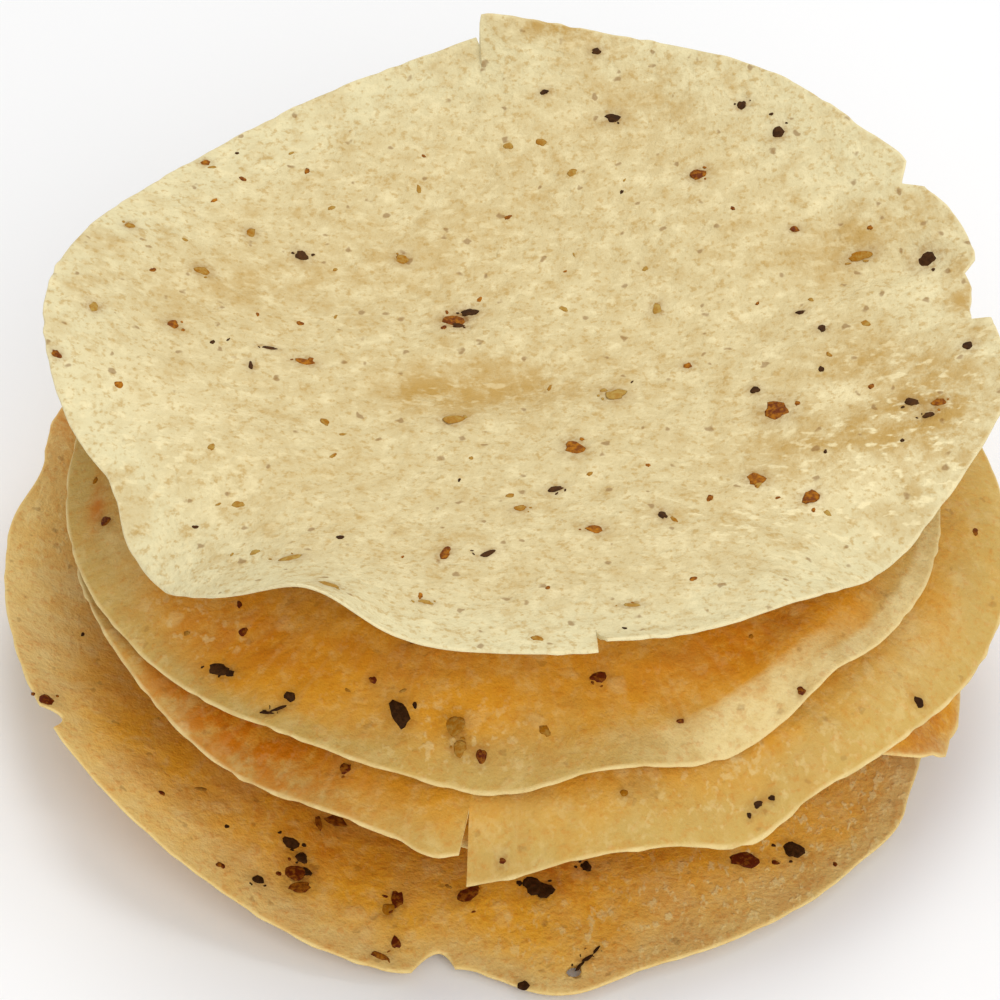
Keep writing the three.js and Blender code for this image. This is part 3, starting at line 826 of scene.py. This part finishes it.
class PAPADUM_OT_sheets(bpy.types.Operator):
    """Make the five papadums in place of their plain solids"""

    bl_idname = "papadum.sheets"
    bl_label = "Papadums"

    def execute(self, context):
        dough = context.scene.papadum_dough
        materials = {
            finish: dough_material(f"dough_{finish}", *finish_colours(dough, finish),
                                   COARSENESS[finish], FLAKE_RUN[finish])
            for finish in SLOTS
        }
        quick = 1.0
        for name, sheet in SHEETS.items():
            rings = 96 if name == "papadum_top" else 80
            share, side, drawn_in = disc_section(int(rings * quick / 2), int(rings * quick),
                                                 dough.thickness / MM)
            angle = column_angles(sheet, int(dough.columns * quick))[None, :]
            points = sheet_surface(sheet, share[:, None], side[:, None], drawn_in[:, None], angle, dough)
            vertices, quads, fans = closed_shell(points)
            piece = add_mesh(f"{name}_crisp", vertices, [quads, fans], materials[sheet["finish"]])
            if name == "papadum_bottom":
                pierce(piece, *HOLE)
            paint_by_place(piece, name)
            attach(piece, "root")
            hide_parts(name)
        return {"FINISHED"}


def surface_point(sheet, x, y, sizes):
    """Points of the sheet's upper face above given places, and its upward direction there."""
    def height_at(px, py):
        dx, dy = px - sheet["centre"][0], py - sheet["centre"][1]
        height, half = layer_height(sheet, np.hypot(dx, dy), np.degrees(np.arctan2(dy, dx)), sizes)
        return height + half

    step = 0.4
    height = height_at(x, y)
    slope_x = (height_at(x + step, y) - height_at(x - step, y)) / (2.0 * step)
    slope_y = (height_at(x, y + step) - height_at(x, y - step)) / (2.0 * step)
    up = np.stack([-slope_x, -slope_y, np.ones_like(height)], axis=-1)
    return np.stack([x, y, height], axis=-1), up / np.linalg.norm(up, axis=-1, keepdims=True)


def scattered_marks(sheet_name, count, seed, sizes):
    """Small flecks at seeded places, evenly over the disc: radius by the root of a random share."""
    sheet = SHEETS[sheet_name]
    draw = np.random.default_rng(seed)
    radius = sheet["radius"] * 0.96 * np.sqrt(draw.uniform(0.0, 1.0, count))
    angle = draw.uniform(0.0, 2.0 * math.pi, count)
    length = draw.uniform(*sizes, count)
    return [(sheet_name, sheet["centre"][0] + r * math.cos(a), sheet["centre"][1] + r * math.sin(a),
             size, size * share, turn)
            for r, a, size, share, turn in zip(radius, angle, length, draw.uniform(0.35, 0.9, count),
                                               draw.uniform(0.0, 180.0, count))]


def with_crumbs(marks, seed):
    """The marks of all sheets, and one or two crumbs beside each that is longer than two millimetres."""
    draw = np.random.default_rng(seed)
    marks = [(name, *row) for name, rows in marks.items() for row in rows]
    crumbs = []
    for name, x, y, length, width, _ in marks:
        for _ in range(draw.integers(1, 3) if length > 2.0 else 0):
            out = draw.uniform(0.6, 0.9)
            share = draw.uniform(0.15, 0.3)
            turn = draw.uniform(0.0, 2.0 * math.pi)
            crumbs.append((name, x + out * length * math.cos(turn), y + out * width * math.sin(turn),
                           share * length, share * width, draw.uniform(0.0, 180.0)))
    return marks + crumbs


def fleck_shells(marks, seed, dough, spice):
    """Lens-shaped flecks with lobed outlines, each lying in the dough along the sheet's slope.

    Every fleck has four rings and two poles: sunk, widest at the surface, and domed above it. The
    outline is one plus waves of two, three and five lobes at seeded turns, and a little at random.
    """
    draw = np.random.default_rng(seed)
    rings = np.array([(0.75, -spice.sunk / MM), (1.0, -0.02), (0.86, spice.proud * 0.7 / MM),
                      (0.45, spice.proud / MM)])
    blocks = []
    for name in SHEETS:
        rows = np.array([row[1:] for row in marks if row[0] == name], float).reshape(-1, 5)
        if not len(rows):
            continue
        middle, up = surface_point(SHEETS[name], rows[:, 0], rows[:, 1], dough)
        turn = np.radians(rows[:, 4])
        along = np.stack([np.cos(turn), np.sin(turn), np.zeros(len(rows))], axis=-1)
        along = along - up * np.sum(along * up, axis=-1, keepdims=True)
        along = along / np.linalg.norm(along, axis=-1, keepdims=True)
        across = np.cross(up, along)
        angle = np.arange(FLECK_CORNERS) * 2.0 * math.pi / FLECK_CORNERS
        uneven = draw.uniform(0.85, 1.05, (len(rows), FLECK_CORNERS))
        for lobes, depth in FLECK_LOBES:
            start = draw.uniform(0.0, 2.0 * math.pi, (len(rows), 1))
            uneven += depth * np.cos(lobes * angle + start)
        ring = uneven[:, None, :] * rings[None, :, :1]
        forward = ring * np.cos(angle) * rows[:, 2, None, None] / 2.0
        sideways = ring * np.sin(angle) * rows[:, 3, None, None] / 2.0
        points = (middle[:, None, None] + forward[..., None] * along[:, None, None]
                  + sideways[..., None] * across[:, None, None]
                  + rings[None, :, 1, None, None] * up[:, None, None])
        low = middle + up * rings[0, 1] * 1.1
        high = middle + up * rings[-1, 1] * 1.1
        tint = TOP_TINT if name == "papadum_top" else OTHER_TINT
        blocks.append((points, low, high, tint + draw.uniform(-TINT_RANGE, TINT_RANGE, len(rows))))
    return blocks


def join_flecks(blocks):
    """One mesh of all flecks, with each vertex's tint: quads between rings and fans to the two poles."""
    vertices, quads, fans, tints, start = [], [], [], [], 0
    for points, low, high, tint in blocks:
        count, levels, sides = points.shape[:3]
        size = levels * sides + 2
        body = np.concatenate([points.reshape(count, -1, 3), low[:, None], high[:, None]], axis=1)
        vertices.append(body.reshape(-1, 3))
        tints.append(np.repeat(tint, size))
        index = np.arange(levels * sides).reshape(levels, sides)
        right = np.roll(index, -1, axis=1)
        one = np.stack([index[:-1], right[:-1], right[1:], index[1:]], axis=-1).reshape(-1, 4)
        under = np.stack([np.full(sides, size - 2), right[0], index[0]], axis=-1)
        upper = np.stack([np.full(sides, size - 1), index[-1], right[-1]], axis=-1)
        offsets = start + np.arange(count)[:, None, None] * size
        quads.append((one[None] + offsets).reshape(-1, 4))
        fans.append((np.concatenate([under, upper])[None] + offsets).reshape(-1, 3))
        start += count * size
    return [np.concatenate(parts) for parts in (vertices, quads, fans, tints)]


class PAPADUM_OT_spices(bpy.types.Operator):
    """Lay black, brown and olive spice flecks in the dough"""

    bl_idname = "papadum.spices"
    bl_label = "Spice flecks"

    def execute(self, context):
        dough = context.scene.papadum_dough
        spice = context.scene.papadum_spice
        kinds = (
            ("pepper", PEPPER_MARKS, (0.6, 1.5), 0.4, "black_spice", 0.45),
            ("brown", BROWN_MARKS, (0.7, 1.9), 0.7, "brown_spice", 0.35),
            ("olive", OLIVE_MARKS, (0.8, 2.4), 1.0, "green_spice", 0.5),
        )
        for seed, (kind, marks, sizes, share, slot, gloss) in enumerate(kinds):
            name = f"{kind}_flecks"
            every = with_crumbs(marks, 700 + seed)
            for number, sheet_name in enumerate(SHEETS):
                count = int(spice.scatter * share)
                every += scattered_marks(sheet_name, count, 100 * seed + number, sizes)
            vertices, quads, fans, tints = join_flecks(fleck_shells(every, 900 + seed, dough, spice))
            dark = tuple(getattr(spice, kind))
            light = tuple(getattr(spice, f"{kind}_light"))
            material = fleck_material(name, dark, light, gloss)
            piece = add_mesh(name, vertices, [quads, fans], material)
            add_values(piece, "tint", tints)
            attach(piece, "root")
        return {"FINISHED"}


def area_light(name, place, aim, size, power, colour):
    """A round soft light at a place, turned towards its aim."""
    data = bpy.data.lights.new(name, "AREA")
    data.shape = "DISK"
    data.size = size
    data.energy = power
    data.color = colour
    light = bpy.data.objects.new(name, data)
    bpy.context.scene.collection.objects.link(light)
    light.location = place
    light.rotation_euler = (aim - light.location).to_track_quat("-Z", "Y").to_euler()
    return light


class PAPADUM_OT_studio(bpy.types.Operator):
    """Set up the plain pale floor, the soft lights and the camera"""

    bl_idname = "papadum.studio"
    bl_label = "Studio"

    def execute(self, context):
        studio = context.scene.papadum_studio
        x, y = SHEETS["papadum_bottom"]["centre"]
        middle = Vector((x * MM, y * MM, AIM_HEIGHT))
        corners = [(-1, -1, 0), (1, -1, 0), (1, 1, 0), (-1, 1, 0)]
        floor_mesh = bpy.data.meshes.new("floor")
        floor_mesh.from_pydata([Vector(corner) * FLOOR_REACH for corner in corners], [], [(0, 1, 2, 3)])
        floor = bpy.data.objects.new("floor", floor_mesh)
        context.scene.collection.objects.link(floor)
        n = Nodes("pale_floor")
        n.shader.inputs["Base Color"].default_value = (*studio.floor, 1.0)
        n.shader.inputs["Roughness"].default_value = 0.9
        floor_mesh.materials.append(n.material)

        world = bpy.data.worlds.new("studio_sky")
        world.use_nodes = True
        background = world.node_tree.nodes["Background"]
        background.inputs["Color"].default_value = (1.0, 1.0, 1.0, 1.0)
        background.inputs["Strength"].default_value = studio.sky
        context.scene.world = world
        area_light("key_light", (0.1, 0.4, 1.0), middle, 0.7, studio.key, (1.0, 1.0, 1.0))
        area_light("fill_light", (0.28, -0.85, 0.7), middle, 0.8, studio.fill, (1.0, 1.0, 1.0))

        camera_data = bpy.data.cameras.new("camera")
        camera_data.lens = studio.lens
        camera_data.sensor_width = 36.0
        camera_data.clip_end = 20.0
        camera = bpy.data.objects.new("camera", camera_data)
        context.scene.collection.objects.link(camera)
        away = Vector((0.0, -math.cos(studio.elevation), math.sin(studio.elevation)))
        camera.location = middle + away * studio.distance
        camera.rotation_euler = (math.pi / 2 - studio.elevation, 0.0, 0.0)
        context.scene.camera = camera
        context.scene.view_settings.view_transform = "Standard"
        return {"FINISHED"}


class PAPADUM_PT_sidebar(bpy.types.Panel):
    """The stack's makers, in the order that they run"""

    bl_label = "Papadums"
    bl_idname = "PAPADUM_PT_sidebar"
    bl_space_type = "VIEW_3D"
    bl_region_type = "UI"
    bl_category = "Papadums"

    def draw(self, context):
        for operator in OPERATORS:
            self.layout.operator(operator.bl_idname)


OPERATORS = (PAPADUM_OT_sheets, PAPADUM_OT_spices, PAPADUM_OT_studio)
GROUPS = {"papadum_dough": PapadumDough, "papadum_spice": PapadumSpice, "papadum_studio": PapadumStudio}


def register():
    """Registers the groups, the operators and the panel."""
    for name, group in GROUPS.items():
        bpy.utils.register_class(group)
        setattr(bpy.types.Scene, name, bpy.props.PointerProperty(type=group))
    for operator in OPERATORS:
        bpy.utils.register_class(operator)
    bpy.utils.register_class(PAPADUM_PT_sidebar)


def unregister():
    """Takes them out again, in the opposite order."""
    bpy.utils.unregister_class(PAPADUM_PT_sidebar)
    for operator in reversed(OPERATORS):
        bpy.utils.unregister_class(operator)
    for name, group in reversed(GROUPS.items()):
        delattr(bpy.types.Scene, name)
        bpy.utils.unregister_class(group)


def main():
    """Builds everything in order."""
    register()
    bpy.ops.papadum.sheets()
    bpy.ops.papadum.spices()
    bpy.ops.papadum.studio()


if __name__ == "__main__":
    main()
